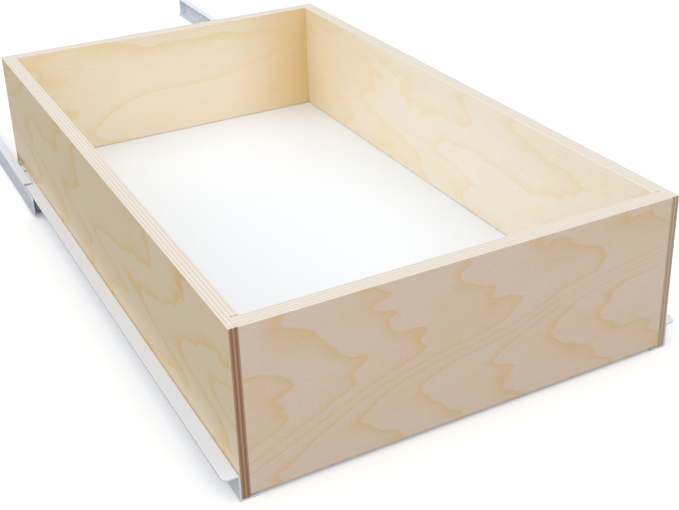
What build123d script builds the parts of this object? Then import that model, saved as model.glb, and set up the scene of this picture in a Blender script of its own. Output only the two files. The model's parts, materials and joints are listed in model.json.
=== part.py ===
"""Slide-out drawer box on a pair of bottom-mounted roller slides.

The drawer box is birch plywood: two sides, a front and a back let into rabbets in the sides, and a
white panel that floats in grooves. A bent steel drawer rail is screwed under each side and carries a
roller at its rear. A bent steel cabinet rail stands outside each drawer rail and carries a roller at
its front. The drawer is drawn pulled out, with the rear rollers against the out-stops.

Frame: millimetres, +X to the right, +Y into the cabinet, +Z up, origin at the bottom centre of the
whole assembly. The right-hand pieces are drawn, and the left-hand ones are their mirror images.
"""

import math
import os

from build123d import *

os.makedirs("parts", exist_ok=True)

# Drawer box
BOX_WIDTH = 330.0
BOX_DEPTH = 558.8
SIDE_HEIGHT = 120.0
BOARD = 12.0
RABBET = 6.0
END_BOARD_LIFT = 1.8
EASE = 0.8
CORNER_EASE = 0.4
SEAM = 0.25

# Floor panel, in a groove round all four boards
PANEL = 6.0
PANEL_TOP = 12.8
GROOVE = 6.0
PANEL_PLAY = 0.5
GROOVE_GAP = 0.4
GROOVE_HEIGHT = PANEL + GROOVE_GAP

# Brads that pin the corners
BRAD_LENGTH = 28.0
BRAD_R = 0.7
BRAD_HEAD_R = 1.2
BRAD_HEAD = 0.6
BRAD_HEIGHTS = (30.0, 62.0, 94.0)

# Bent steel, both rails
SHEET = 1.2
BEND = 1.0
RAIL_LENGTH = 550.0

# Drawer rail, measured out from the side's outer face and up from its bottom edge
LIP_WIDTH = 11.5
FLANGE_WIDTH = 11.0
FLANGE_TOP = 18.3
FLANGE_LENGTH = 529.0
WEB_STEP = 2.4
WEB_STEP_Y = 533.0
FLANGE_CORNER = 4.0
CAPTIVE_LIP = 4.0
CAPTIVE_LIP_START = 7.0
RELIEF_SLOT_Y = 514.0
RELIEF_SLOT = (4.0, 3.0)
RAIL_CORNER = 3.0

# Ribs pressed up in the flange: the front roller rests between them when the drawer is out
RIB_START = 3.5
RIB_WIDTH = 6.0
RIB_HEIGHT = 0.6
RIBS = ((449.5, 6.5), (467.5, 3.0))

# Countersunk screws, up through the lip
SCREW_POSITIONS = (30.0, 190.0, 350.0, 500.0)
SCREW_INSET = 4.0
SCREW_LENGTH = 11.0
SCREW_R = 1.75
SCREW_HEAD_R = 3.3
SCREW_HEAD = 1.55
SCREW_POINT = 2.2
DRIVE_SLOT = (3.4, 0.7, 0.9)

# Cabinet rail
SIDE_CLEARANCE = 12.7
TRACK_TOP = 0.2
TRACK_INNER = 2.2
TOP_FLANGE_UNDER = 19.5
TOP_FLANGE_INNER = 4.5
TOP_FLANGE_START = 34.0
TRACK_START = 26.0
WEB_CORNER = 5.0
STOP_HEIGHT = 3.0
STOP_WIDTH = 6.0
MOUNT_HOLE_R = 2.25
MOUNT_HOLES = (37.0, 69.0, 261.0, 485.0)

# Rollers and their riveted axles
ROLLER_R = 9.0
ROLLER_WIDTH = 6.2
ROLLER_HUB_R = 4.6
ROLLER_RIM_INNER_R = 7.1
ROLLER_RECESS = 1.6
ROLLER_EDGE = 0.6
ROLLER_RIBS = 6
ROLLER_RIB = 0.9
ROLLER_RIB_SET_BACK = 0.4
AXLE_R = 2.5
AXLE_CLEARANCE = 0.05
AXLE_HEAD_R = 3.8
AXLE_HEAD = 1.1
AXLE_HEAD_EDGE = 0.5
SHOULDER_R = 3.7
END_PLAY = 0.1
REAR_ROLLER_Y = 541.0
REAR_ROLLER_Z = 9.5
REAR_ROLLER_INNER = 2.7
FRONT_ROLLER_Y = 460.5
FRONT_ROLLER_SETBACK = 14.5
FRONT_ROLLER_INNER = 3.2
FLANGE_GAP = 0.3

# Places in the frame
CABINET_FRONT = FRONT_ROLLER_Y - FRONT_ROLLER_SETBACK
OVERALL_LENGTH = CABINET_FRONT + RAIL_LENGTH
DRAWER_Y = -OVERALL_LENGTH / 2
CABINET_Y = DRAWER_Y + CABINET_FRONT
SIDE_Z = SHEET
SIDE_X = BOX_WIDTH / 2
INNER_X = SIDE_X - BOARD
REBATE_X = SIDE_X - RABBET
FRONT_ROLLER_Z = FLANGE_TOP - SHEET - FLANGE_GAP - ROLLER_R
PANEL_MID_Z = SIDE_Z + PANEL_TOP - PANEL / 2
GROOVE_MID_Z = PANEL_MID_Z + GROOVE_GAP / 2
WEB_FACE = SIDE_CLEARANCE - SHEET


def across(x, y, z):
    """Plane whose normal points along +X, at a point in the frame."""
    return Plane(origin=(x, y, z), x_dir=(0, 1, 0), z_dir=(1, 0, 0))


def write(piece, name):
    """Label a finished piece and write its file."""
    piece.part.label = name
    export_step(piece.part, f"parts/{name}.step")


def to_side(side):
    """Turn the right-hand piece being built into the left-hand one, where that is wanted."""
    if side == "left":
        mirror(about=Plane.YZ, mode=Mode.REPLACE)


# ---------------------------------------------------------------- fasteners

with BuildPart() as screw:
    with BuildSketch(Plane.XZ):
        with BuildLine():
            Polyline(
                (0, 0),
                (SCREW_HEAD_R, 0),
                (SCREW_R, SCREW_HEAD),
                (SCREW_R, SCREW_LENGTH - SCREW_POINT),
                (0, SCREW_LENGTH),
                close=True,
            )
        make_face()
    revolve(axis=Axis.Z)

with BuildPart() as drive:
    slot_length, slot_width, slot_depth = DRIVE_SLOT
    with Locations((0, 0, slot_depth / 2)):
        Box(slot_length, slot_width, slot_depth)
        Box(slot_width, slot_length, slot_depth)

screws = {}
for side in ("left", "right"):
    with BuildPart() as rail_screws:
        spots = [(SIDE_X - SCREW_INSET, DRAWER_Y + y, 0) for y in SCREW_POSITIONS]
        with Locations(*spots):
            add(screw.part)
        to_side(side)
    screws[side] = rail_screws.part
    with BuildPart() as slotted_screws:
        add(rail_screws.part)
        slots = [(-x if side == "left" else x, y, z) for x, y, z in spots]
        with Locations(*slots):
            add(drive.part, mode=Mode.SUBTRACT)
    write(slotted_screws, f"{side}_rail_screws")

brads = {}
for side in ("left", "right"):
    with BuildPart() as corner_brads:
        for y in (DRAWER_Y + BOARD / 2, DRAWER_Y + BOX_DEPTH - BOARD / 2):
            for height in BRAD_HEIGHTS:
                with BuildSketch(across(SIDE_X, y, SIDE_Z + height)):
                    Circle(BRAD_HEAD_R)
                extrude(amount=-BRAD_HEAD)
                with BuildSketch(across(SIDE_X, y, SIDE_Z + height)):
                    Circle(BRAD_R)
                extrude(amount=-BRAD_LENGTH)
        to_side(side)
    brads[side] = corner_brads.part
    write(corner_brads, f"{side}_corner_brads")

# --------------------------------------------------------------- drawer box

for side in ("left", "right"):
    with BuildPart() as side_board:
        near = DRAWER_Y
        far = DRAWER_Y + BOX_DEPTH
        with BuildSketch(Plane.XY.offset(SIDE_Z)):
            with BuildLine():
                Polyline(
                    (SIDE_X, near),
                    (SIDE_X, far),
                    (REBATE_X, far),
                    (REBATE_X, far - BOARD),
                    (INNER_X, far - BOARD),
                    (INNER_X, near + BOARD),
                    (REBATE_X, near + BOARD),
                    (REBATE_X, near),
                    close=True,
                )
            make_face()
        extrude(amount=SIDE_HEIGHT)
        with Locations((INNER_X + GROOVE / 2, (near + far) / 2, GROOVE_MID_Z)):
            Box(GROOVE, BOX_DEPTH - 2 * BOARD, GROOVE_HEIGHT, mode=Mode.SUBTRACT)
        long_edges = side_board.edges().filter_by(Axis.Y).filter_by(lambda edge: edge.length > BOX_DEPTH / 2)
        eased = long_edges.group_by(Axis.Z)[-1] + long_edges.group_by(Axis.Z)[0].group_by(Axis.X)[-1]
        fillet(eased, EASE)
        outer_corners = side_board.edges().filter_by(Axis.Z).group_by(Axis.X)[-1]
        fillet(outer_corners, CORNER_EASE)
        to_side(side)
        add(brads[side], mode=Mode.SUBTRACT)
        add(screws[side], mode=Mode.SUBTRACT)
    write(side_board, f"{side}_side")

END_HEIGHT = SIDE_HEIGHT - END_BOARD_LIFT
for name, middle_y, inward in (
    ("drawer_front", DRAWER_Y + BOARD / 2, 1),
    ("drawer_back", DRAWER_Y + BOX_DEPTH - BOARD / 2, -1),
):
    with BuildPart() as end_board:
        with Locations((0, middle_y, SIDE_Z + END_BOARD_LIFT + END_HEIGHT / 2)):
            Box(2 * REBATE_X, BOARD, END_HEIGHT)
        with Locations((0, middle_y + inward * (BOARD - GROOVE) / 2, GROOVE_MID_Z)):
            Box(2 * REBATE_X, GROOVE, GROOVE_HEIGHT, mode=Mode.SUBTRACT)
        outer_edges = end_board.edges().filter_by(Axis.Z).group_by(Axis.Y)[0 if inward > 0 else -1]
        chamfer(outer_edges, SEAM)
        top_edges = end_board.edges().filter_by(Axis.X).group_by(Axis.Z)[-1]
        fillet(top_edges, EASE)
        add(brads["left"], mode=Mode.SUBTRACT)
        add(brads["right"], mode=Mode.SUBTRACT)
    write(end_board, name)

with BuildPart() as bottom_panel:
    reach = GROOVE - PANEL_PLAY
    with Locations((0, DRAWER_Y + BOX_DEPTH / 2, PANEL_MID_Z)):
        Box(2 * (INNER_X + reach), BOX_DEPTH - 2 * BOARD + 2 * reach, PANEL)
write(bottom_panel, "bottom_panel")

# -------------------------------------------------------------- drawer rails

for side in ("left", "right"):
    captive = side == "right"
    flange_z = SIDE_Z + FLANGE_TOP
    with BuildPart() as drawer_rail:
        with BuildSketch(Plane.XZ.offset(-DRAWER_Y)):
            with BuildLine() as fold:
                corners = [
                    (SIDE_X - LIP_WIDTH, SIDE_Z - SHEET / 2),
                    (SIDE_X + SHEET / 2, SIDE_Z - SHEET / 2),
                    (SIDE_X + SHEET / 2, flange_z - SHEET / 2),
                ]
                if captive:
                    corners.append((SIDE_X + FLANGE_WIDTH - SHEET / 2, flange_z - SHEET / 2))
                    corners.append((SIDE_X + FLANGE_WIDTH - SHEET / 2, flange_z - CAPTIVE_LIP))
                else:
                    corners.append((SIDE_X + FLANGE_WIDTH, flange_z - SHEET / 2))
                FilletPolyline(*corners, radius=BEND)
            trace(line_width=SHEET)
        extrude(amount=-RAIL_LENGTH)

        # The flange stops short of the rear roller, and the captive lip short of the front end
        flange_depth = CAPTIVE_LIP + SHEET
        with Locations((SIDE_X + SHEET, DRAWER_Y + FLANGE_LENGTH, flange_z - flange_depth)):
            Box(
                FLANGE_WIDTH,
                RAIL_LENGTH,
                2 * flange_depth,
                align=(Align.MIN, Align.MIN, Align.MIN),
                mode=Mode.SUBTRACT,
            )
        with Locations((SIDE_X - SHEET, DRAWER_Y + WEB_STEP_Y, flange_z - WEB_STEP)):
            Box(
                FLANGE_WIDTH,
                RAIL_LENGTH,
                2 * WEB_STEP,
                align=(Align.MIN, Align.MIN, Align.MIN),
                mode=Mode.SUBTRACT,
            )
        if captive:
            with Locations((SIDE_X + FLANGE_WIDTH - BEND - SHEET, DRAWER_Y, flange_z)):
                Box(
                    4 * SHEET,
                    2 * CAPTIVE_LIP_START,
                    4 * CAPTIVE_LIP,
                    align=(Align.MIN, Align.CENTER, Align.CENTER),
                    mode=Mode.SUBTRACT,
                )

        # Relief slot beside the web
        slot_width, slot_length = RELIEF_SLOT
        with Locations((SIDE_X + SHEET + slot_width / 2, DRAWER_Y + RELIEF_SLOT_Y, flange_z)):
            Box(slot_width, slot_length, 4 * SHEET, mode=Mode.SUBTRACT)

        # Pressed ribs: the same arc is raised on top and hollowed underneath
        for rib_y, half in RIBS:
            for z, mode in ((flange_z, Mode.ADD), (flange_z - SHEET, Mode.SUBTRACT)):
                with BuildSketch(Plane.YZ.offset(SIDE_X + RIB_START)):
                    with BuildLine():
                        start = (DRAWER_Y + rib_y - half, z)
                        top = (DRAWER_Y + rib_y, z + RIB_HEIGHT)
                        end = (DRAWER_Y + rib_y + half, z)
                        ThreePointArc(start, top, end)
                        Line(end, start)
                    make_face()
                extrude(amount=RIB_WIDTH, mode=mode)

        # Rounded corners: the flange's front, and the web's rear end
        front_edges = drawer_rail.edges().filter_by(Axis.Z).group_by(Axis.Y)[0]
        fillet(front_edges.sort_by(Axis.X)[-1], FLANGE_CORNER if not captive else RAIL_CORNER)
        rear_edges = drawer_rail.edges().filter_by(Axis.X).group_by(Axis.Y)[-1]
        fillet(rear_edges.sort_by(Axis.Z)[-1], RAIL_CORNER)

        with BuildSketch(across(SIDE_X, DRAWER_Y + REAR_ROLLER_Y, SIDE_Z + REAR_ROLLER_Z)):
            Circle(AXLE_R)
        extrude(amount=SHEET, mode=Mode.SUBTRACT)
        to_side(side)
        add(screws[side], mode=Mode.SUBTRACT)
    write(drawer_rail, f"{side}_drawer_rail")

# ------------------------------------------------------------- cabinet rails

for side in ("left", "right"):
    web_x = SIDE_X + WEB_FACE
    top_z = SIDE_Z + TOP_FLANGE_UNDER + SHEET
    track_z = SIDE_Z + TRACK_TOP
    rear_y = CABINET_Y + RAIL_LENGTH
    with BuildPart() as cabinet_rail:
        with BuildSketch(Plane.XZ.offset(-CABINET_Y)):
            with BuildLine():
                FilletPolyline(
                    (SIDE_X + TRACK_INNER, track_z - SHEET / 2),
                    (web_x + SHEET / 2, track_z - SHEET / 2),
                    (web_x + SHEET / 2, top_z - SHEET / 2),
                    (SIDE_X + TOP_FLANGE_INNER, top_z - SHEET / 2),
                    radius=BEND,
                )
            trace(line_width=SHEET)
        extrude(amount=-RAIL_LENGTH)

        # Both flanges are cut away round the front roller
        for z, length in ((track_z - SHEET, TRACK_START), (top_z, TOP_FLANGE_START)):
            with Locations((SIDE_X, CABINET_Y, z)):
                Box(
                    SIDE_CLEARANCE + SHEET,
                    length,
                    2 * (BEND + SHEET),
                    align=(Align.MIN, Align.MIN, Align.CENTER),
                    mode=Mode.SUBTRACT,
                )
        front_edges = cabinet_rail.edges().filter_by(Axis.X).group_by(Axis.Y)[0]
        fillet(front_edges, WEB_CORNER)

        # Out-stop pressed up from the track, and in-stop folded across the rear end
        contact = math.sqrt(ROLLER_R**2 - (ROLLER_R - STOP_HEIGHT) ** 2)
        stop_y = DRAWER_Y + REAR_ROLLER_Y - contact - FLANGE_GAP - SHEET / 2
        with Locations((SIDE_X + REAR_ROLLER_INNER + STOP_WIDTH / 2, stop_y, track_z)):
            Box(STOP_WIDTH, SHEET, STOP_HEIGHT, align=(Align.CENTER, Align.CENTER, Align.MIN))
        with Locations((web_x, rear_y, track_z)):
            Box(
                WEB_FACE - TOP_FLANGE_INNER,
                SHEET,
                TOP_FLANGE_UNDER - TRACK_TOP,
                align=(Align.MAX, Align.MAX, Align.MIN),
            )

        # Axle hole and the row of mounting holes
        holes = [(CABINET_Y + FRONT_ROLLER_SETBACK, SIDE_Z + FRONT_ROLLER_Z, AXLE_R)]
        for hole_y in MOUNT_HOLES:
            holes.append((CABINET_Y + hole_y, (track_z + top_z - SHEET) / 2, MOUNT_HOLE_R))
        for y, z, radius in holes:
            with BuildSketch(across(web_x, y, z)):
                Circle(radius)
            extrude(amount=SHEET, mode=Mode.SUBTRACT)
        to_side(side)
    write(cabinet_rail, f"{side}_cabinet_rail")

# --------------------------------------------------------- rollers and axles

for place, y, z, inner in (
    ("rear", DRAWER_Y + REAR_ROLLER_Y, SIDE_Z + REAR_ROLLER_Z, REAR_ROLLER_INNER),
    ("front", DRAWER_Y + FRONT_ROLLER_Y, SIDE_Z + FRONT_ROLLER_Z, FRONT_ROLLER_INNER),
):
    roller_x = SIDE_X + inner
    outer_x = roller_x + ROLLER_WIDTH
    for side in ("left", "right"):
        with BuildPart() as roller:
            with BuildSketch(across(roller_x, y, z)):
                Circle(ROLLER_R)
                Circle(AXLE_R + AXLE_CLEARANCE, mode=Mode.SUBTRACT)
            extrude(amount=ROLLER_WIDTH)
            for face_x, depth in ((roller_x, ROLLER_RECESS), (outer_x, -ROLLER_RECESS)):
                with BuildSketch(across(face_x, y, z)):
                    Circle(ROLLER_RIM_INNER_R)
                    Circle(ROLLER_HUB_R, mode=Mode.SUBTRACT)
                extrude(amount=depth, mode=Mode.SUBTRACT)
                set_back = math.copysign(ROLLER_RIB_SET_BACK, depth)
                with BuildSketch(across(face_x + set_back, y, z)):
                    with PolarLocations((ROLLER_HUB_R + ROLLER_RIM_INNER_R) / 2, ROLLER_RIBS):
                        Rectangle(ROLLER_RIM_INNER_R - ROLLER_HUB_R + ROLLER_RIB, ROLLER_RIB)
                extrude(amount=depth)
            rim_edges = roller.edges().filter_by(GeomType.CIRCLE)
            rims = rim_edges.filter_by(lambda edge: abs(edge.radius - ROLLER_R) < BRAD_R)
            fillet(rims, ROLLER_EDGE)
            to_side(side)
        write(roller, f"{side}_{place}_roller")

        with BuildPart() as axle:
            if place == "rear":
                root_x = SIDE_X
                face_x = SIDE_X + SHEET
                shoulder_end = roller_x - END_PLAY
                head_x = outer_x + END_PLAY
                out = 1
            else:
                root_x = SIDE_X + SIDE_CLEARANCE
                face_x = SIDE_X + WEB_FACE
                shoulder_end = outer_x + END_PLAY
                head_x = roller_x - END_PLAY
                out = -1
            for start_x, end_x, radius in (
                (root_x, head_x, AXLE_R),
                (face_x, shoulder_end, SHOULDER_R),
                (head_x, head_x + out * AXLE_HEAD, AXLE_HEAD_R),
            ):
                with BuildSketch(across(start_x, y, z)):
                    Circle(radius)
                extrude(amount=end_x - start_x)
            head_edge = axle.edges().filter_by(GeomType.CIRCLE).sort_by(Axis.X)[-1 if out > 0 else 0]
            fillet(head_edge, AXLE_HEAD_EDGE)
            to_side(side)
        write(axle, f"{side}_{place}_axle")
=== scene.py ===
# %% [markdown]
# # A plywood drawer on roller slides
#
# The real object is a birch plywood drawer box, 330 mm wide, that rides on two pairs of bent steel
# rails with nylon rollers. Every solid part already exists at its true size, so this notebook loads
# those parts and then works on what the eye reads: the veneer, the plies along the edges, the white
# melamine bottom, the enamelled steel and the light that falls on all of it.

# %% Load the parts
import json
import math

import bpy
from mathutils import Matrix, Vector


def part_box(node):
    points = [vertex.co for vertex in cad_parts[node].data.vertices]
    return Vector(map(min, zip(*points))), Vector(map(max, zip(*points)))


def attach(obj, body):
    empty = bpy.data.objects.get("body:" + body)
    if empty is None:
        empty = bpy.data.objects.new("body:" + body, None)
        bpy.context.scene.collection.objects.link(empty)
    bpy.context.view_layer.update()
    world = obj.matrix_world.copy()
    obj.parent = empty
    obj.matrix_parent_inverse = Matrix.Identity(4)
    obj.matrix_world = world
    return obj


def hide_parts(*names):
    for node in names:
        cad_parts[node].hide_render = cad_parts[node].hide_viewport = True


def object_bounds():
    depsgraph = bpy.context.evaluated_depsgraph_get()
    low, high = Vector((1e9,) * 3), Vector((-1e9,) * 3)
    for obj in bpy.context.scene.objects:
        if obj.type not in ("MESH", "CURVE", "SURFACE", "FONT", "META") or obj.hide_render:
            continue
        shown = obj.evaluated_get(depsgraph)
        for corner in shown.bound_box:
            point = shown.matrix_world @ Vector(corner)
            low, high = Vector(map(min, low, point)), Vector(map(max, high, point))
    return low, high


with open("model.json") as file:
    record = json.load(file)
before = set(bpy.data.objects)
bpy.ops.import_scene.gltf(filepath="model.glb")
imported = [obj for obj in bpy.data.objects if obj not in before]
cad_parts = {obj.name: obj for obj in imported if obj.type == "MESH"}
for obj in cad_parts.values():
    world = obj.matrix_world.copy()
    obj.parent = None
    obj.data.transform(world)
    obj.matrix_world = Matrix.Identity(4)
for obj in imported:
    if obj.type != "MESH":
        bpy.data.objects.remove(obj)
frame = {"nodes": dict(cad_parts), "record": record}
parts = frame["nodes"]
solid_low, solid_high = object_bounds()
print("parts loaded:", len(parts), "size in metres:", [round(v, 4) for v in solid_high - solid_low])

# %% [markdown]
# An operator works on everything that is selected, and loading leaves the parts selected. So the
# first habit is to clear the selection. The places used below are all read from the parts: the front
# board gives the drawer's front, and the side boards give its width, its height and their thickness.

# %% Read the main places from the parts
MM = 0.001


def clear_selection():
    """Nothing selected and nothing active, so the next operator touches only what it is given."""
    bpy.ops.object.select_all(action="DESELECT")
    bpy.context.view_layer.objects.active = None


clear_selection()
side_low, side_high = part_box("right_side")
left_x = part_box("left_side")[0].x
right_x = side_high.x
front_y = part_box("drawer_front")[0].y
back_y = side_high.y
under_z = side_low.z

width = right_x - left_x
board = right_x - side_low.x
tall = side_high.z - under_z
print("box width, height and board in mm:", *[round(v / MM, 1) for v in (width, tall, board)])

# %% [markdown]
# ## The camera
#
# A camera is easiest to repeat when it is written as a place, a heading, a tilt and a roll. Distances
# are counted in drawer widths from the middle of the drawer's lower front edge, because proportions
# are what fix a viewpoint. A small downward shift keeps the upright edges nearly parallel.

# %% Place the camera
HEADING = math.radians(27.10)
TILT = math.radians(24.84)
ROLL = math.radians(-1.87)
STAND = Vector((-1.0622, -1.5283, 1.3813))
LENS = 59.8
SENSOR = 36
SHIFT = -0.11

bpy.ops.object.camera_add()
camera = bpy.context.object
camera.name = "camera"
ahead = Vector(
    (
        math.sin(HEADING) * math.cos(TILT),
        math.cos(HEADING) * math.cos(TILT),
        -math.sin(TILT),
    )
)
level = ahead.cross(Vector((0, 0, 1))).normalized()
above = level.cross(ahead)
right = math.cos(ROLL) * level + math.sin(ROLL) * above
up = math.cos(ROLL) * above - math.sin(ROLL) * level
turned = Matrix((right, up, -ahead)).transposed().to_4x4()
camera.matrix_world = Matrix.Translation(Vector((0, front_y, under_z)) + STAND * width) @ turned
camera.data.lens = LENS
camera.data.sensor_width = SENSOR
camera.data.shift_y = SHIFT
camera.data.clip_start = 10 * MM
bpy.context.scene.camera = camera
print("camera at", [round(v, 3) for v in camera.location])

# %% [markdown]
# ## Floor and light
#
# A product picture on white is lit by one big soft source from above, with a pale room that fills the
# shadows. The upper faces and the open edges come out nearly white, and the upright faces a step
# darker. A wide pale floor carries the object and throws light back up under it.

# %% Add the floor
FLOOR_SIZE = 14.0

bpy.ops.mesh.primitive_plane_add(size=FLOOR_SIZE, location=(0, 0, solid_low.z))
floor = bpy.context.object
floor.name = "studio_floor"
print("floor at z =", round(floor.location.z, 4))

# %% Light it softly
ROOM_LIGHT = 0.56
WHITE_ROOM = 1.05
KEY_STRENGTH = 1.85
KEY_SPREAD = math.radians(110)
KEY_TURN = (math.radians(14), math.radians(-10), 0)

world = bpy.data.worlds.new("pale_room")
world.use_nodes = True
sky = world.node_tree
background = sky.nodes["Background"]
background.inputs["Color"].default_value = (1, 1, 1, 1)
seen = sky.nodes.new("ShaderNodeLightPath").outputs["Is Camera Ray"]
strength = sky.nodes.new("ShaderNodeMapRange")
strength.inputs["To Min"].default_value = ROOM_LIGHT
strength.inputs["To Max"].default_value = WHITE_ROOM
sky.links.new(seen, strength.inputs["Value"])
sky.links.new(strength.outputs["Result"], background.inputs["Strength"])
bpy.context.scene.world = world

bpy.ops.object.light_add(type="SUN", rotation=KEY_TURN)
key = bpy.context.object
key.name = "overhead_softbox"
key.data.energy = KEY_STRENGTH
key.data.angle = KEY_SPREAD
bpy.context.scene.view_settings.view_transform = "Standard"
print("lights:", key.name, "and", world.name)

# %% [markdown]
# ## Helpers for building materials
#
# A material is a small network of nodes. These helpers add a node and set or link its inputs in one
# line, so that each recipe below reads as a list of steps.


# %% Node helpers
def node(tree, kind, inputs=None, **settings):
    """Add a node. Each input is a number, a colour or another node's output."""
    made = tree.nodes.new(kind)
    for name, value in settings.items():
        setattr(made, name, value)
    for name, value in (inputs or {}).items():
        if isinstance(value, bpy.types.NodeSocket):
            tree.links.new(value, made.inputs[name])
        else:
            made.inputs[name].default_value = value
    return made


def maths(tree, operation, first, second=0.0, third=0.0):
    """One step of arithmetic."""
    made = node(tree, "ShaderNodeMath", {0: first, 1: second, 2: third}, operation=operation)
    return made.outputs[0]


def stretched(tree, vector, factors):
    """The same coordinates, scaled differently along each axis."""
    inputs = {0: vector, 1: factors}
    return node(tree, "ShaderNodeVectorMath", inputs, operation="MULTIPLY").outputs[0]


def noise(tree, vector, detail=2.0, roughness=0.5):
    """Soft random values at the scale that the coordinates already carry."""
    inputs = {"Vector": vector, "Scale": 1.0, "Detail": detail, "Roughness": roughness}
    return node(tree, "ShaderNodeTexNoise", inputs).outputs["Fac"]


def fade(tree, value, low, high, start=0.0, end=1.0):
    """A smooth step of a value from one level to another."""
    inputs = {"Value": value, "From Min": low, "From Max": high, "To Min": start, "To Max": end}
    made = node(tree, "ShaderNodeMapRange", inputs, interpolation_type="SMOOTHSTEP")
    return made.outputs["Result"]


def blend(tree, factor, first, second):
    """Mix two colours. The mix node keeps its colour sockets at places 6 and 7, and its result at 2."""
    return node(tree, "ShaderNodeMix", {0: factor, 6: first, 7: second}, data_type="RGBA").outputs[2]


def new_group(name, inputs, outputs):
    """An empty node group with its sockets, and its tree, input node and output node."""
    tree = bpy.data.node_groups.new(name, "ShaderNodeTree")
    for label, kind, default in inputs:
        socket = tree.interface.new_socket(label, in_out="INPUT", socket_type=kind)
        if default is not None:
            socket.default_value = default
    for label, kind in outputs:
        tree.interface.new_socket(label, in_out="OUTPUT", socket_type=kind)
    return tree, tree.nodes.new("NodeGroupInput").outputs, tree.nodes.new("NodeGroupOutput").inputs


def use_group(tree, group, inputs):
    """Place a node group in a material."""
    return node(tree, "ShaderNodeGroup", inputs, node_tree=group).outputs


def new_material(name, roughness, **shader):
    """A material with its Principled shader, ready for colour and bump."""
    material = bpy.data.materials.new(name)
    material.use_nodes = True
    tree = material.node_tree
    tree.nodes["Principled BSDF"].inputs["Roughness"].default_value = roughness
    for label, value in shader.items():
        socket = label.replace("_", " ").title().replace("Ior", "IOR")
        tree.nodes["Principled BSDF"].inputs[socket].default_value = value
    return material, tree, tree.nodes["Principled BSDF"].inputs


def give(piece, material):
    """Put one material on a piece."""
    piece.data.materials.clear()
    piece.data.materials.append(material)


FLOAT, VECTOR, COLOUR = "NodeSocketFloat", "NodeSocketVector", "NodeSocketColor"
print("helpers ready")

# %% [markdown]
# ## Eased edges
#
# No real edge is perfectly sharp. A board's edges are eased with a few strokes of sandpaper, and the
# shears and the paint leave the rails' edges slightly round. These narrow roundings catch the light
# and draw a thin bright line round every form. A part keeps its own mesh, so each one is copied, the
# copy's loose triangles are joined again, and its sharp edges are bevelled. On the boards only the long
# edges are taken, because a brad's hole is punched and stays crisp. A rounding that ends against an
# edge left sharp makes slivers there, which are dissolved. The modifier at the end turns the normals of
# each rounding towards its big flat neighbours, so that the faces still look flat.

# %% Copy a part
bodies = frame["record"]["behaviour"]["bodies"]
body_of = {name: body for body, names in bodies.items() for name in names}


def copy_part(name):
    """A selected copy of a part, without the marks that would make it pass for a loaded part."""
    clear_selection()
    parts[name].select_set(True)
    bpy.context.view_layer.objects.active = parts[name]
    bpy.ops.object.duplicate()
    piece = bpy.context.object
    for mark in list(piece.keys()):
        del piece[mark]
    piece.name = name + "_eased"
    return piece


print("bodies to ride on:", sorted(bodies))

# %% Round the edges of a copy
SHARP = math.radians(30)
FLAT = math.radians(0.5)
WELD = 0.005 * MM
ROUNDING_STEPS = 2
FAVOUR_BIG_FACES = 100


def join_triangles():
    """Make whole flat faces of the active piece's loose triangles."""
    bpy.ops.object.mode_set(mode="EDIT")
    bpy.ops.mesh.select_mode(type="EDGE")
    bpy.ops.mesh.select_all(action="SELECT")
    bpy.ops.mesh.remove_doubles(threshold=WELD)
    bpy.ops.mesh.dissolve_limited(angle_limit=FLAT)
    bpy.ops.object.mode_set(mode="OBJECT")


def round_edges(piece, radius, shortest):
    """Bevel each sharp edge that is over the shortest length."""
    bpy.ops.object.mode_set(mode="EDIT")
    bpy.ops.mesh.select_all(action="DESELECT")
    bpy.ops.mesh.edges_select_sharp(sharpness=SHARP)
    bpy.ops.object.mode_set(mode="OBJECT")
    for crease in piece.data.edges:
        start, end = [piece.data.vertices[corner].co for corner in crease.vertices]
        crease.select = crease.select and (end - start).length > shortest
    bpy.ops.object.mode_set(mode="EDIT")
    bpy.ops.mesh.bevel(offset=radius, segments=ROUNDING_STEPS)
    bpy.ops.object.mode_set(mode="OBJECT")


def dissolve_slivers():
    """Take out the slivers that a rounding leaves where it ends against an edge left sharp."""
    bpy.ops.object.mode_set(mode="EDIT")
    bpy.ops.mesh.select_all(action="SELECT")
    bpy.ops.mesh.dissolve_degenerate(threshold=WELD)
    bpy.ops.mesh.quads_convert_to_tris()
    bpy.ops.mesh.dissolve_degenerate(threshold=WELD)
    bpy.ops.object.mode_set(mode="OBJECT")


def shade_flat_faces(piece):
    """Smooth shading over the roundings, and even shading over the flat faces."""
    bpy.ops.object.shade_smooth_by_angle(angle=SHARP)
    flats = piece.modifiers.new("flats", "WEIGHTED_NORMAL")
    flats.weight = FAVOUR_BIG_FACES
    flats.keep_sharp = True
    bpy.ops.object.modifier_apply(modifier="flats")


print("one rounding has", ROUNDING_STEPS, "steps")

# %% Ease the boards, the rails and the rollers
BOARD_EASE = 0.2 * MM
RAIL_EASE = 0.08 * MM
ROLLER_EASE = 0.25 * MM
LONG = 5 * MM
BOARDS = ("drawer_front", "drawer_back", "left_side", "right_side")


def ease(name, radius, shortest):
    """Stand a copy with rounded edges in place of a part, and return it."""
    piece = copy_part(name)
    join_triangles()
    round_edges(piece, radius, shortest)
    if shortest > 0:
        dissolve_slivers()
    shade_flat_faces(piece)
    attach(piece, body_of[name])
    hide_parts(name)
    clear_selection()
    return piece


eased = {name: ease(name, BOARD_EASE, LONG) for name in BOARDS}
for side in ("left", "right"):
    for name in (side + "_drawer_rail", side + "_cabinet_rail"):
        eased[name] = ease(name, RAIL_EASE, 0.0)
    for name in (side + "_front_roller", side + "_rear_roller"):
        eased[name] = ease(name, ROLLER_EASE, 0.0)
print("eased copies:", {name: len(piece.data.polygons) for name, piece in eased.items()})

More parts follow.
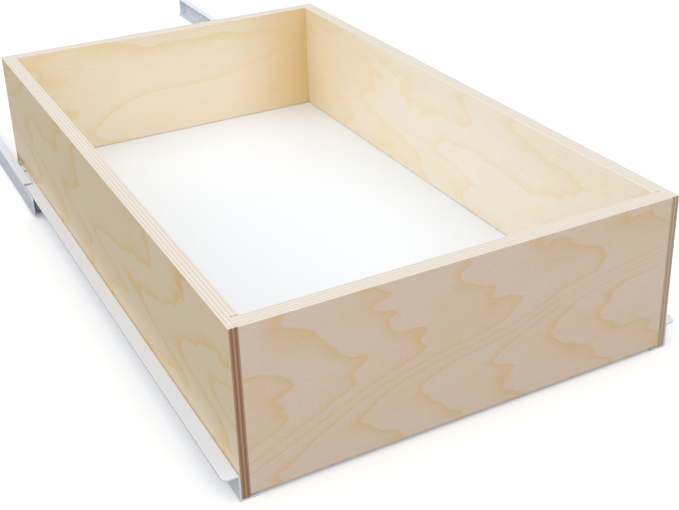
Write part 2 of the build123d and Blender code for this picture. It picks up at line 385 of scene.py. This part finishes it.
# %% [markdown]
# ## Rotary-cut birch veneer
#
# Birch plywood is faced with veneer peeled from a turning log. The knife follows the growth rings at a
# shallow angle, so the rings come out as wandering contours, like the lines on a map. Along the middle
# of a sheet they crowd into a band, and above and below it they open into tongues that point along
# the grain. A height map gives just that shape: it climbs along the board, steps down across the band,
# and leans back on both sides of it. Noise that is stretched along the grain makes the tongues uneven.
# The height is cut into steps, and each step ends in a thin late-wood line with one sharp side. Fine
# fibres and short dark pores run along the grain over all of it.
#
# Heights are counted in rings. Climb is the rings in a metre along the board, Crowding is half the
# rings that crowd into the band, and Lean is the rings in a metre across it. Wander and Jags bend them.
# Band is how high the band lies, and Rise is its slope. Strength is how dark the lines are. Painted
# shade darkens the wood between Start and Finish along the board, towards an inside corner of the box.

# %% Veneer group: what it is given
figure, given, gives = new_group(
    "rotary_birch",
    [
        ("Along", FLOAT, 0.0),
        ("Across", FLOAT, 0.0),
        ("Seed", FLOAT, 0.0),
        ("Climb", FLOAT, 15.0),
        ("Crowding", FLOAT, 2.0),
        ("Lean", FLOAT, 30.0),
        ("Wander", FLOAT, 1.0),
        ("Jags", FLOAT, 0.4),
        ("Rise", FLOAT, 0.1),
        ("Band", FLOAT, 0.06),
        ("Pale", COLOUR, (0.8, 0.66, 0.45, 1)),
        ("Line", COLOUR, (0.6, 0.38, 0.18, 1)),
        # The colour that the painted corner shade darkens the wood towards.
        ("Shade_colour", COLOUR, (0.7, 0.5, 0.3, 1)),
        ("Strength", FLOAT, 1.0),
        # How strong the painted corner shade is, between Start and Finish along the board.
        ("Deepen", FLOAT, 0.0),
        ("Start", FLOAT, 0.0),
        ("Finish", FLOAT, 1.0),
    ],
    [("Color", COLOUR), ("Height", FLOAT)],
)
from_sockets = {0: given["Along"], 1: given["Across"], 2: given["Seed"]}
place = node(figure, "ShaderNodeCombineXYZ", from_sockets).outputs[0]
print("veneer group sockets:", len(given) - 1, "in,", len(gives) - 1, "out")

# %% Veneer group: the height map
HILLS_PER_METRE = (7.0, 17.0, 1.0)
JAGS_PER_METRE = (30.0, 60.0, 1.0)
FRAYS_PER_METRE = (90.0, 380.0, 1.0)
BAND_WIDTH = 10 * MM
BAND_WANDER = 30 * MM
FRAY_DEPTH = 0.06

hills = noise(figure, stretched(figure, place, HILLS_PER_METRE), 0.0)
hills = maths(figure, "SUBTRACT", hills, 0.5)
jags = noise(figure, stretched(figure, place, JAGS_PER_METRE), 1.0, 0.6)
jags = maths(figure, "SUBTRACT", jags, 0.5)
fray = noise(figure, stretched(figure, place, FRAYS_PER_METRE), 1.0)
fray = maths(figure, "SUBTRACT", fray, 0.5)
band = maths(figure, "MULTIPLY_ADD", given["Along"], given["Rise"], given["Band"])
band = maths(figure, "MULTIPLY_ADD", hills, BAND_WANDER, band)
off_band = maths(figure, "SUBTRACT", given["Across"], band)
crossing = maths(figure, "TANH", maths(figure, "DIVIDE", off_band, BAND_WIDTH))
apart = maths(figure, "ABSOLUTE", crossing)
height = maths(figure, "MULTIPLY", given["Along"], given["Climb"])
height = maths(figure, "SUBTRACT", height, maths(figure, "MULTIPLY", crossing, given["Crowding"]))
height = maths(figure, "MULTIPLY_ADD", off_band, given["Lean"], height)
height = maths(figure, "MULTIPLY_ADD", hills, given["Wander"], height)
height = maths(figure, "MULTIPLY_ADD", maths(figure, "MULTIPLY", jags, apart), given["Jags"], height)
height = maths(figure, "MULTIPLY_ADD", fray, FRAY_DEPTH, height)
print("veneer group with its height map:", len(figure.nodes), "nodes")

# %% Veneer group: rings, fibres and pores
CLOUDS_PER_METRE = (9.0, 22.0, 1.0)
FIBRES_PER_METRE = (40.0, 1400.0, 1.0)
PORES_PER_METRE = (230.0, 3600.0, 1.0)
LINE_SHARPNESS = 6.0
LINE_END = 0.94

step = maths(figure, "FRACT", height)
sharp_side = fade(figure, step, LINE_END, 1.0, 1.0, 0.0)
line = maths(figure, "MULTIPLY", maths(figure, "POWER", step, LINE_SHARPNESS), sharp_side)
clouds = noise(figure, stretched(figure, place, CLOUDS_PER_METRE), 2.0)
fibres = noise(figure, stretched(figure, place, FIBRES_PER_METRE), 2.0, 0.6)
pores = noise(figure, stretched(figure, place, PORES_PER_METRE), 1.0)
pore_marks = fade(figure, pores, 0.60, 0.70)
print("veneer group with its rings and pores:", len(figure.nodes), "nodes")

# %% Veneer group: colour and relief
RING_TINT = 0.10
LINE_AMOUNT = 0.90
CLOUD_TINT = 0.20
FIBRE_TINT = 0.16
STREAK_TINT = 0.10
PORE_TINT = 0.22
PORE_DEPTH = 0.6
PORE = (0.42, 0.27, 0.15, 1)

amount = maths(figure, "MULTIPLY", line, LINE_AMOUNT)
amount = maths(figure, "MULTIPLY_ADD", maths(figure, "MULTIPLY", step, step), RING_TINT, amount)
amount = maths(figure, "MULTIPLY_ADD", fade(figure, clouds, 0.35, 0.75), CLOUD_TINT, amount)
amount = maths(figure, "MULTIPLY_ADD", fade(figure, fibres, 0.3, 0.8), FIBRE_TINT, amount)
amount = maths(figure, "MULTIPLY", amount, given["Strength"])
# Painted shade: the wood darkens between Start and Finish, towards an inside corner of the box.
corner_shade = fade(figure, given["Along"], given["Start"], given["Finish"])
corner_shade = maths(figure, "MULTIPLY", corner_shade, given["Deepen"])
colour = blend(figure, amount, given["Pale"], given["Line"])
colour = blend(figure, corner_shade, colour, given["Shade_colour"])
streaks = fade(figure, fibres, 0.5, 0.8, 0.0, STREAK_TINT)
pored = maths(figure, "MULTIPLY_ADD", pore_marks, PORE_TINT, streaks)
figure.links.new(blend(figure, pored, colour, PORE), gives["Color"])
relief = maths(figure, "MULTIPLY_ADD", pore_marks, -PORE_DEPTH, fibres)
figure.links.new(relief, gives["Height"])
print("veneer group finished:", len(figure.nodes), "nodes")

# %% [markdown]
# ## Ply edges
#
# Cut plywood shows its plies as stripes, nine of them in a 12 mm board. Every second ply runs across,
# so its end grain is darker and rougher, and a thin dark line of glue lies between plies. The stripe
# is chosen by the depth below the face, and long thin noise makes the sawn fibres.

# %% Ply edge group: stripes
PLIES = 9
WAVES_PER_METRE = 30.0
PLY_WANDER = 0.3

edge, given, gives = new_group(
    "ply_edge",
    [
        ("Depth", FLOAT, 0.0),
        ("Along", FLOAT, 0.0),
        ("Light", COLOUR, (0.9, 0.8, 0.62, 1)),
        ("Shade", COLOUR, (0.7, 0.5, 0.32, 1)),
        ("Glue", COLOUR, (0.3, 0.17, 0.1, 1)),
    ],
    [("Color", COLOUR), ("Height", FLOAT)],
)
flat_place = node(edge, "ShaderNodeCombineXYZ", {0: given["Along"], 1: given["Depth"]}).outputs[0]
wander = noise(edge, stretched(edge, flat_place, (WAVES_PER_METRE, 0.0, 0.0)), 2.0)
plies = maths(edge, "MULTIPLY", given["Depth"], PLIES / board)
plies = maths(edge, "MULTIPLY_ADD", wander, PLY_WANDER, plies)
inside = maths(edge, "FRACT", plies)
odd = maths(edge, "GREATER_THAN", maths(edge, "FRACT", maths(edge, "MULTIPLY", plies, 0.5)), 0.5)
off_middle = maths(edge, "ABSOLUTE", maths(edge, "SUBTRACT", inside, 0.5))
glue = fade(edge, off_middle, 0.42, 0.5)
print("one ply in mm:", round(board / PLIES / MM, 2))

# %% Ply edge group: fibres, colour and relief
SAWN_FIBRES_PER_METRE = (90.0, 3200.0, 0.0)
END_DOTS_PER_METRE = (1500.0, 2600.0, 0.0)
FIBRE_SHADE = 0.35
PIT_SHADE = 0.4
GLUE_SHADE = 0.55
PIT_DEPTH = 0.5
GLUE_DEPTH = 0.4

grain = noise(edge, stretched(edge, flat_place, SAWN_FIBRES_PER_METRE), 2.0, 0.6)
dots = noise(edge, stretched(edge, flat_place, END_DOTS_PER_METRE), 1.0)
stripe = blend(edge, odd, given["Light"], given["Shade"])
streaks = maths(edge, "MULTIPLY", fade(edge, grain, 0.35, 0.75), FIBRE_SHADE)
stripe = blend(edge, streaks, stripe, given["Shade"])
pits = maths(edge, "MULTIPLY", fade(edge, dots, 0.58, 0.72), odd)
stripe = blend(edge, maths(edge, "MULTIPLY", pits, PIT_SHADE), stripe, given["Glue"])
stripe = blend(edge, maths(edge, "MULTIPLY", glue, GLUE_SHADE), stripe, given["Glue"])
edge.links.new(stripe, gives["Color"])
pitted = maths(edge, "MULTIPLY_ADD", pits, -PIT_DEPTH, grain)
edge.links.new(maths(edge, "MULTIPLY_ADD", glue, -GLUE_DEPTH, pitted), gives["Height"])
print("ply edge group:", len(edge.nodes), "nodes")

# %% [markdown]
# ## The four boards
#
# Each board has its own sheets of veneer, one outside and one inside, so each gets its own material,
# made by one recipe. The recipe reads the surface direction: where it points through the board's
# thickness the veneer shows, where it points up or down the long edge shows, and where it points along
# the board the end grain shows. The end grain is much browner, partly because the clear coat soaks
# into it and partly as painted shade on the upright ends.

# %% A sheet of veneer
LINE_TINT = (0.98, 0.84, 0.52)
# The colour of the painted corner shade, as a tint of the ground.
SHADE_TINT = (0.87, 0.70, 0.41)


def sheet(pale, **values):
    """One sheet of veneer: its ground colour and the numbers of its figure."""
    made = {name.capitalize(): value for name, value in values.items()}
    made["Pale"] = (*pale, 1)
    made["Line"] = (*[ground * tint for ground, tint in zip(pale, LINE_TINT)], 1)
    made["Shade_colour"] = (*[ground * tint for ground, tint in zip(pale, SHADE_TINT)], 1)
    return made


print("sheet takes a ground colour and any of the veneer group's numbers")

# %% Colours of the cut edges
LONG_EDGES = {
    "Light": (0.83, 0.785, 0.72, 1),
    "Shade": (0.75, 0.66, 0.56, 1),
    "Glue": (0.42, 0.30, 0.22, 1),
}
# The end colours are darker than the long edges: end grain, and partly painted shade on the upright ends.
BROWN_ENDS = {
    "Light": (0.54, 0.33, 0.21, 1),
    "Shade": (0.34, 0.18, 0.10, 1),
    "Glue": (0.11, 0.045, 0.025, 1),
}
TAN_ENDS = {
    "Light": (0.68, 0.52, 0.38, 1),
    "Shade": (0.52, 0.36, 0.25, 1),
    "Glue": (0.12, 0.05, 0.03, 1),
}
print("edge colours:", len(LONG_EDGES), "for the long edges and for each kind of end")

# %% Board recipe
FACE_ROUGHNESS = 0.42
EDGE_ROUGHNESS = 0.60
GRAIN_DEPTH = 0.06 * MM
INWARDS = (0.4 * board, 0.6 * board)
FACING = (0.6, 0.75)


def birch(name, through, outer, ends, outside, inside):
    """Plywood whose thickness runs along X (0) or Y (1). Outer is the place of its outer face."""
    material, tree, shader = new_material(name, FACE_ROUGHNESS, coat_weight=0.12, coat_roughness=0.25)
    coordinates = node(tree, "ShaderNodeTexCoord").outputs
    place = node(tree, "ShaderNodeSeparateXYZ", {0: coordinates["Object"]}).outputs
    facing = node(tree, "ShaderNodeSeparateXYZ", {0: coordinates["Normal"]}).outputs
    length = 1 - through
    where = {"Along": place[length], "Across": maths(tree, "SUBTRACT", place[2], under_z)}
    outer_face = use_group(tree, figure, where | outside)
    inner_face = use_group(tree, figure, where | inside)
    depth = maths(tree, "ABSOLUTE", maths(tree, "SUBTRACT", place[through], outer))
    long_edge = use_group(tree, edge, {"Depth": depth, "Along": place[length]} | LONG_EDGES)
    end_edge = use_group(tree, edge, {"Depth": depth, "Along": place[2]} | ends)
    on_inside = fade(tree, depth, *INWARDS)
    on_face = fade(tree, maths(tree, "ABSOLUTE", facing[through]), *FACING)
    on_end = fade(tree, maths(tree, "ABSOLUTE", facing[length]), *FACING)
    veneer = blend(tree, on_inside, outer_face["Color"], inner_face["Color"])
    # Partly painted shade: the upright end edges take the browner end colours.
    colour = blend(tree, on_end, long_edge["Color"], end_edge["Color"])
    tree.links.new(blend(tree, on_face, colour, veneer), shader["Base Color"])
    relief = blend(tree, on_face, long_edge["Height"], outer_face["Height"])
    bump = node(tree, "ShaderNodeBump", {"Height": relief, "Distance": GRAIN_DEPTH, "Strength": 0.5})
    tree.links.new(bump.outputs[0], shader["Normal"])
    change = FACE_ROUGHNESS - EDGE_ROUGHNESS
    tree.links.new(maths(tree, "MULTIPLY_ADD", on_face, change, EDGE_ROUGHNESS), shader["Roughness"])
    return material


print("board thickness in mm:", round(board / MM, 1))

# %% [markdown]
# ## A figure for each sheet
#
# The ground colour follows the light that a face sees as much as the wood: the outer faces are pinker
# or greyer, and the inner ones, which the white bottom lights from below, are creamier. Each sheet has
# its own seed and its own band, and a negative climb points its tongues the other way. The inner
# sheets are quieter. Painted shade darkens the wood to gold towards one end of the back and of the
# right side, towards the inside corner where they meet.

# %% Outer sheets
PINK_GROUND = (0.85, 0.70, 0.58)
BUFF_GROUND = (0.86, 0.725, 0.52)

front_out = sheet(
    PINK_GROUND, seed=3.0, climb=19.0, crowding=2.1, lean=18.0, wander=2.6, jags=0.9, rise=0.19, band=0.055
)
back_out = sheet(
    BUFF_GROUND, seed=14.0, climb=9.0, crowding=1.5, lean=24.0, wander=1.8, jags=0.8, rise=-0.1, band=0.05
)
left_out = sheet(
    BUFF_GROUND, seed=20.0, climb=-11.0, crowding=-1.0, lean=-24.0, wander=2.0, jags=0.8, rise=0.02,
    band=0.055, strength=1.2,
)
right_out = sheet(
    BUFF_GROUND, seed=31.0, climb=8.0, crowding=1.4, lean=26.0, wander=1.6, jags=0.6, rise=-0.02, band=0.06
)
print("seeds outside:", [made["Seed"] for made in (front_out, back_out, left_out, right_out)])

# %% Inner sheets
CREAM_GROUND = (0.965, 0.89, 0.765)
GOLD_GROUND = (0.905, 0.80, 0.645)

front_in = sheet(
    CREAM_GROUND, seed=8.0, climb=4.0, crowding=0.5, lean=14.0, wander=1.8, jags=0.4, rise=-0.1, band=0.06,
    strength=0.6,
)
# This sheet carries painted shade towards the inside corner where the back meets the right side.
back_in = sheet(
    GOLD_GROUND, seed=17.0, climb=5.0, crowding=0.6, lean=16.0, wander=2.2, jags=0.4, rise=0.15, band=0.06,
    strength=0.75, deepen=0.95, start=0.05, finish=0.17,
)
left_in = sheet(
    CREAM_GROUND, seed=25.0, climb=5.0, crowding=1.0, lean=16.0, wander=1.4, jags=0.4, rise=0.03, band=0.06,
    strength=0.6,
)
# This sheet carries painted shade towards the inside corner where the right side meets the back.
right_in = sheet(
    CREAM_GROUND, seed=36.0, climb=-7.0, crowding=-0.8, lean=-18.0, wander=2.2, jags=0.7, rise=0.03,
    band=0.05, strength=0.6, deepen=0.45, start=-0.16, finish=0.06,
)
print("seeds inside:", [made["Seed"] for made in (front_in, back_in, left_in, right_in)])

# %% Veneer the boards
give(eased["drawer_front"], birch("front_birch", 1, front_y, BROWN_ENDS, front_out, front_in))
give(eased["drawer_back"], birch("back_birch", 1, back_y, BROWN_ENDS, back_out, back_in))
give(eased["left_side"], birch("left_birch", 0, left_x, BROWN_ENDS, left_out, left_in))
give(eased["right_side"], birch("right_birch", 0, right_x, TAN_ENDS, right_out, right_in))
print("boards veneered:", [eased[name].data.materials[0].name for name in BOARDS])

# %% [markdown]
# ## White melamine
#
# The drawer's bottom is a thin panel faced with melamine paper. It is smooth but not flat to the
# touch: the press leaves a fine pebble that breaks up reflections. A little uneven roughness stands
# for the marks that hands and cartons leave, and the colour is a hair on the cool side of white.

# %% Handling marks, shared by every smooth finish
SMEARS_PER_METRE = (14.0, 8.0, 14.0)
SCUFFS_PER_METRE = (240.0, 30.0, 240.0)

marks, given, gives = new_group(
    "handling_marks",
    [("Vector", VECTOR, None), ("Amount", FLOAT, 0.1), ("Base", FLOAT, 0.3)],
    [("Roughness", FLOAT), ("Dust", FLOAT)],
)
smears = noise(marks, stretched(marks, given["Vector"], SMEARS_PER_METRE), 3.0, 0.65)
scuffs = noise(marks, stretched(marks, given["Vector"], SCUFFS_PER_METRE), 2.0, 0.6)
smeared = fade(marks, smears, 0.35, 0.75)
mixed = maths(marks, "MULTIPLY_ADD", fade(marks, scuffs, 0.55, 0.8), 0.5, smeared)
marks.links.new(maths(marks, "MULTIPLY_ADD", mixed, given["Amount"], given["Base"]), gives["Roughness"])
marks.links.new(fade(marks, smears, 0.45, 0.8), gives["Dust"])
print("handling marks:", len(marks.nodes), "nodes")

# %% Melamine panel
MELAMINE = (0.865, 0.905, 0.955, 1)
MELAMINE_WORN = (0.84, 0.87, 0.905, 1)
CORE = (0.46, 0.33, 0.22, 1)
PEBBLES_PER_METRE = (1500.0, 1500.0, 1500.0)
PEBBLE_DEPTH = 0.03 * MM

melamine, tree, shader = new_material("white_melamine", 0.35, coat_weight=0.1)
coordinates = node(tree, "ShaderNodeTexCoord").outputs
handled = use_group(tree, marks, {"Vector": coordinates["Object"], "Amount": 0.12, "Base": 0.32})
paper = blend(tree, maths(tree, "MULTIPLY", handled["Dust"], 0.5), MELAMINE, MELAMINE_WORN)
facing = node(tree, "ShaderNodeSeparateXYZ", {0: coordinates["Normal"]}).outputs
cut = fade(tree, maths(tree, "ABSOLUTE", facing[2]), 0.4, 0.6, 1.0, 0.0)
tree.links.new(blend(tree, cut, paper, CORE), shader["Base Color"])
tree.links.new(handled["Roughness"], shader["Roughness"])
pebble = noise(tree, stretched(tree, coordinates["Object"], PEBBLES_PER_METRE), 1.0)
bump = node(tree, "ShaderNodeBump", {"Height": pebble, "Distance": PEBBLE_DEPTH, "Strength": 0.35})
tree.links.new(bump.outputs[0], shader["Normal"])
give(parts["bottom_panel"], melamine)
print("panel finished:", melamine.name)

# %% [markdown]
# ## Enamelled steel
#
# The rails are folded from sheet and sprayed with a white epoxy powder that melts into a smooth,
# slightly rippled skin. Where a roller runs, the skin is polished and greyed in a stripe, and in small
# specks it is thin enough for the steel to show through. The outer sheared edge of each drawer rail's
# flange is greyed as painted shade.

# %% Powder coat
ENAMEL = (0.815, 0.853, 0.94, 1)
ENAMEL_WORN_AND_SHADE = (0.52, 0.53, 0.56, 1)
LANE_BLUR = 0.7 * MM
EDGE_BAND = (0.3 * MM, 0.1 * MM)
TRACK_BAND = (0.1 * MM, 0.3 * MM)
STREAKS_PER_METRE = (2600.0, 9.0, 60.0)
SPECKS_PER_METRE = (420.0, 420.0, 420.0)
RIPPLES_PER_METRE = (300.0, 300.0, 300.0)
SPECK_TINT = 0.35
RIPPLE_DEPTH = 0.06 * MM


def enamel(name, lane_low, lane_high, lane_z, lane_dark, edge_x, edge_shade):
    """Powder coat, rubbed in the lane where a roller runs, with painted shade on the sheared edge at
    edge_x.
    """
    material, tree, shader = new_material(name, 0.3, coat_weight=0.35, coat_roughness=0.12)
    coordinates = node(tree, "ShaderNodeTexCoord").outputs
    handled = use_group(tree, marks, {"Vector": coordinates["Object"], "Amount": 0.14, "Base": 0.27})
    place = node(tree, "ShaderNodeSeparateXYZ", {0: coordinates["Object"]}).outputs
    out = maths(tree, "ABSOLUTE", place[0])
    past_inner = fade(tree, out, lane_low, lane_low + LANE_BLUR)
    before_outer = fade(tree, out, lane_high - LANE_BLUR, lane_high, 1.0, 0.0)
    lane = maths(tree, "MULTIPLY", past_inner, before_outer)
    off_track = maths(tree, "ABSOLUTE", maths(tree, "SUBTRACT", place[2], lane_z))
    near = fade(tree, off_track, *TRACK_BAND, 1.0, 0.0)
    streaks = noise(tree, stretched(tree, coordinates["Object"], STREAKS_PER_METRE), 3.0, 0.6)
    rubbed = maths(tree, "MULTIPLY", maths(tree, "MULTIPLY", lane, near), fade(tree, streaks, 0.35, 0.7))
    specks = noise(tree, stretched(tree, coordinates["Object"], SPECKS_PER_METRE), 2.0)
    facing = node(tree, "ShaderNodeSeparateXYZ", {0: coordinates["Normal"]}).outputs
    sheared = fade(tree, maths(tree, "ABSOLUTE", facing[0]), 0.8, 0.95)
    at_edge = fade(tree, out, edge_x - EDGE_BAND[0], edge_x - EDGE_BAND[1])
    sheared = maths(tree, "MULTIPLY", sheared, at_edge)
    thin = maths(tree, "MULTIPLY", fade(tree, specks, 0.72, 0.8), SPECK_TINT)
    # Painted shade: the outer sheared edge is greyed.
    thin = maths(tree, "MULTIPLY_ADD", sheared, edge_shade, thin)
    colour = blend(tree, thin, ENAMEL, ENAMEL_WORN_AND_SHADE)
    colour = blend(tree, maths(tree, "MULTIPLY", rubbed, lane_dark), colour, ENAMEL_WORN_AND_SHADE)
    tree.links.new(colour, shader["Base Color"])
    tree.links.new(handled["Roughness"], shader["Roughness"])
    ripple = noise(tree, stretched(tree, coordinates["Object"], RIPPLES_PER_METRE), 2.0, 0.4)
    bump = node(tree, "ShaderNodeBump", {"Height": ripple, "Distance": RIPPLE_DEPTH, "Strength": 0.3})
    tree.links.new(bump.outputs[0], shader["Normal"])
    return material


# %% Coat the rails
ROLLER_GAP = 0.3 * MM
TRACK_DARK = 0.75
FLANGE_DARK = 0.6
# Painted shade greys the outer sheared edge of the drawer rails' flanges.
FLANGE_EDGE_SHADE = 0.7

rear_low, rear_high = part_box("right_rear_roller")
front_low, front_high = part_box("right_front_roller")
rail_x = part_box("right_drawer_rail")[1].x
track_z = rear_low.z - ROLLER_GAP
flange_z = front_high.z + ROLLER_GAP
track_coat = enamel("track_enamel", rear_low.x, rear_high.x, track_z, TRACK_DARK, rail_x, 0.0)
flange_coat = enamel("rail_enamel", front_low.x, front_high.x, flange_z, FLANGE_DARK, rail_x, FLANGE_EDGE_SHADE)
for side in ("left", "right"):
    give(eased[side + "_cabinet_rail"], track_coat)
    give(eased[side + "_drawer_rail"], flange_coat)
print("rails coated; rear roller lane in mm:", round(rear_low.x / MM, 1), "to", round(rear_high.x / MM, 1))

# %% [markdown]
# ## Nylon rollers
#
# A roller is one moulding of unfilled nylon: milky, a little translucent, and matt where it has run.
# Light goes a short way into it, which is what subsurface scattering is for. The running face picks
# up grey from the rails, so the darker tint depends on the distance from the axle.

# %% Nylon
NYLON = (0.60, 0.61, 0.63, 1)
NYLON_RUN = (0.40, 0.41, 0.43, 1)
GLOW_REACH = 4 * MM
TREAD_BAND = (0.5 * MM, 0.1 * MM)
FLOW_PER_METRE = (500.0, 500.0, 500.0)
FLOW_DEPTH = 0.04 * MM


def nylon(name, piece):
    """Nylon centred on one roller, so that its tread can be found by radius."""
    low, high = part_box(piece)
    centre = (low + high) / 2
    radius = (high.z - low.z) / 2
    material, tree, shader = new_material(name, 0.42, subsurface_weight=0.15)
    shader["Subsurface Radius"].default_value = (GLOW_REACH, GLOW_REACH, GLOW_REACH)
    shader["Subsurface Scale"].default_value = 0.5
    coordinates = node(tree, "ShaderNodeTexCoord").outputs
    from_centre = {0: coordinates["Object"], 1: centre}
    away = node(tree, "ShaderNodeVectorMath", from_centre, operation="SUBTRACT").outputs[0]
    disc = stretched(tree, away, (0.0, 1.0, 1.0))
    reach = node(tree, "ShaderNodeVectorMath", {0: disc}, operation="LENGTH").outputs["Value"]
    tread = fade(tree, reach, radius - TREAD_BAND[0], radius - TREAD_BAND[1])
    handled = use_group(tree, marks, {"Vector": away, "Amount": 0.2, "Base": 0.38})
    flow = noise(tree, stretched(tree, away, FLOW_PER_METRE), 2.0)
    dirty = maths(tree, "MULTIPLY", tread, fade(tree, flow, 0.3, 0.7, 0.35, 1.0))
    tree.links.new(blend(tree, dirty, NYLON, NYLON_RUN), shader["Base Color"])
    tree.links.new(handled["Roughness"], shader["Roughness"])
    bump = node(tree, "ShaderNodeBump", {"Height": flow, "Distance": FLOW_DEPTH, "Strength": 0.3})
    tree.links.new(bump.outputs[0], shader["Normal"])
    return material


# %% Give each roller its nylon
for side in ("left", "right"):
    for end in ("front", "rear"):
        roller = f"{side}_{end}_roller"
        give(eased[roller], nylon(roller + "_nylon", roller))
print("rollers finished:", [name for name in eased if name.endswith("_roller")])

# %% [markdown]
# ## Plated and bright steel
#
# Axles and screws are zinc plated: bright, a little blue, and finely brushed by tumbling. The corner
# brads are plain wire under the clear coat of the wood, so they are duller and warmer. Metal is mostly
# its reflections, so a metal material is little more than a tint and an uneven roughness.

# %% Metals
BRUSHING_PER_METRE = (900.0, 2600.0, 2600.0)
DULLING_PER_METRE = (350.0, 350.0, 350.0)
BRUSHING_DEPTH = 0.02 * MM


def metal(name, tint, shade, base):
    """Small turned or headed steel parts."""
    material, tree, shader = new_material(name, base, metallic=1.0)
    coordinates = node(tree, "ShaderNodeTexCoord").outputs
    grain = noise(tree, stretched(tree, coordinates["Object"], BRUSHING_PER_METRE), 3.0, 0.6)
    cloud = noise(tree, stretched(tree, coordinates["Object"], DULLING_PER_METRE), 2.0)
    tree.links.new(blend(tree, fade(tree, cloud, 0.35, 0.7), tint, shade), shader["Base Color"])
    tree.links.new(maths(tree, "MULTIPLY_ADD", grain, 0.25, base), shader["Roughness"])
    bump = node(tree, "ShaderNodeBump", {"Height": grain, "Distance": BRUSHING_DEPTH, "Strength": 0.4})
    tree.links.new(bump.outputs[0], shader["Normal"])
    return material


# %% Finish the axles, screws and brads
zinc = metal("zinc_plate", (0.72, 0.74, 0.77, 1), (0.58, 0.58, 0.56, 1), 0.22)
wire = metal("brad_wire", (0.88, 0.77, 0.60, 1), (0.74, 0.62, 0.46, 1), 0.5)
for side in ("left", "right"):
    give(parts[side + "_corner_brads"], wire)
    for tail in ("_rail_screws", "_front_axle", "_rear_axle"):
        give(parts[side + tail], zinc)
print("small steel finished:", zinc.name, "and", wire.name)

# %% [markdown]
# ## The studio floor
#
# The floor is white paper. What the camera sees of it is near white with a faint contact shadow. To
# the object it is a mid grey, as a table further off would be, so that the outsides of the box stay a
# step darker than its inside, where the white bottom throws the light back.

# %% Floor paper
PAPER = (0.97, 0.97, 0.97, 1)
PAPER_BOUNCE = (0.40, 0.40, 0.40, 1)
PAPER_GLOW = 0.12

white, tree, shader = new_material("studio_white", 0.9, specular_ior_level=0.0)
shader["Emission Color"].default_value = (1, 1, 1, 1)
seen = node(tree, "ShaderNodeLightPath").outputs["Is Camera Ray"]
tree.links.new(blend(tree, seen, PAPER_BOUNCE, PAPER), shader["Base Color"])
tree.links.new(maths(tree, "MULTIPLY", seen, PAPER_GLOW), shader["Emission Strength"])
give(floor, white)
print("floor finished:", white.name)
